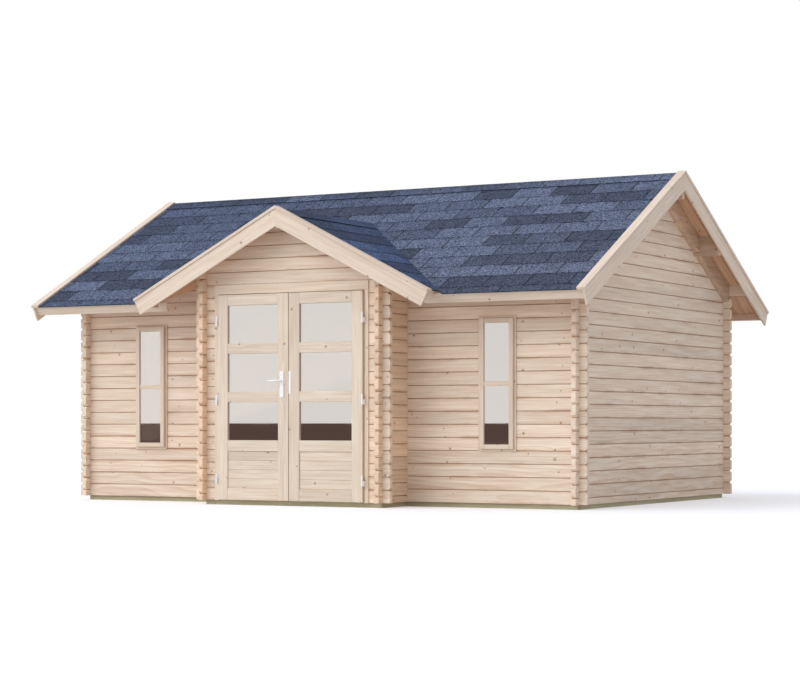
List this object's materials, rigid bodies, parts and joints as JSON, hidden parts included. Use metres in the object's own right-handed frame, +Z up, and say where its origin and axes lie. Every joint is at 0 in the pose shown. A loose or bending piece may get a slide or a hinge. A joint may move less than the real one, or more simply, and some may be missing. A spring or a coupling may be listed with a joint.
{
  "type": "log cabin",
  "caption": "Log cabin with interlocking corner logs, front bay with glazed double doors, slim windows, saddle roof with cross gable and shingles.",
  "frame": {"origin": "on the ground at the middle of the roof's outline seen from above", "axes": "+X to the right seen from the front, +Y from the door side to the back, +Z up"},
  "size_m": [5.746, 4.685, 3.0337],
  "materials": {
    "log_wood": "planed softwood",
    "trim_wood": "planed softwood",
    "frame_wood": "planed softwood",
    "leaf_wood": "planed softwood",
    "deck_wood": "planed softwood boards",
    "purlin_wood": "planed softwood",
    "floor_wood": "planed boards",
    "beam_wood": "impregnated softwood",
    "shingle": "mineral grit",
    "glass": "clear",
    "white_metal": "gloss white"
  },
  "bodies": {
    "cabin": {"beams_long": "beam_wood", "beams_cross": "beam_wood", "floor_joists": "beam_wood", "floor_boards": "floor_wood", "front_wall_left": "log_wood", "front_wall_right": "log_wood", "back_wall": "log_wood", "top_logs": "log_wood", "gable_wall_left": "log_wood", "gable_wall_right": "log_wood", "bay_side_left": "log_wood", "bay_side_right": "log_wood", "bay_piers": "log_wood", "bay_gable": "log_wood", "bay_header": "log_wood", "ridge_purlin": "purlin_wood", "side_purlins": "purlin_wood", "bay_purlin": "purlin_wood", "gable_rafters": "purlin_wood", "front_deck": "deck_wood", "back_deck": "deck_wood", "bay_deck_left": "deck_wood", "bay_deck_right": "deck_wood", "front_covering": "shingle", "back_covering": "shingle", "bay_covering_left": "shingle", "bay_covering_right": "shingle", "gable_barges": "trim_wood", "bay_barge": "trim_wood", "gable_caps": "trim_wood", "bay_cap": "trim_wood", "fascias": "trim_wood", "door_frame": "frame_wood", "window_frames": "frame_wood", "window_panes": "glass", "hinge_pins": "white_metal"},
    "left_leaf": {"leaf_left": "leaf_wood", "panes_left": "glass", "handle_plate": "white_metal", "knuckles_left": "white_metal"},
    "right_leaf": {"leaf_right": "leaf_wood", "panes_right": "glass", "strike_plate": "white_metal", "knuckles_right": "white_metal"},
    "lever": {"lever": "white_metal"}
  },
  "joints": [
    {"name": "left_leaf_hinge", "type": "hinge", "parent": "cabin", "child": "left_leaf", "pos_m": [-0.758, -2.1195, 0.9], "axis": [0, 0, -1], "range_deg": [0, 110]},
    {"name": "right_leaf_hinge", "type": "hinge", "parent": "cabin", "child": "right_leaf", "pos_m": [0.758, -2.1195, 0.9], "axis": [0, 0, 1], "range_deg": [0, 110]},
    {"name": "lever_turn", "type": "hinge", "parent": "left_leaf", "child": "lever", "pos_m": [-0.069, -2.1565, 1.11], "axis": [0, -1, 0], "range_deg": [0, 40], "stiffness_Nm_per_rad": 0.8, "springref_deg": -17.19}
  ]
}
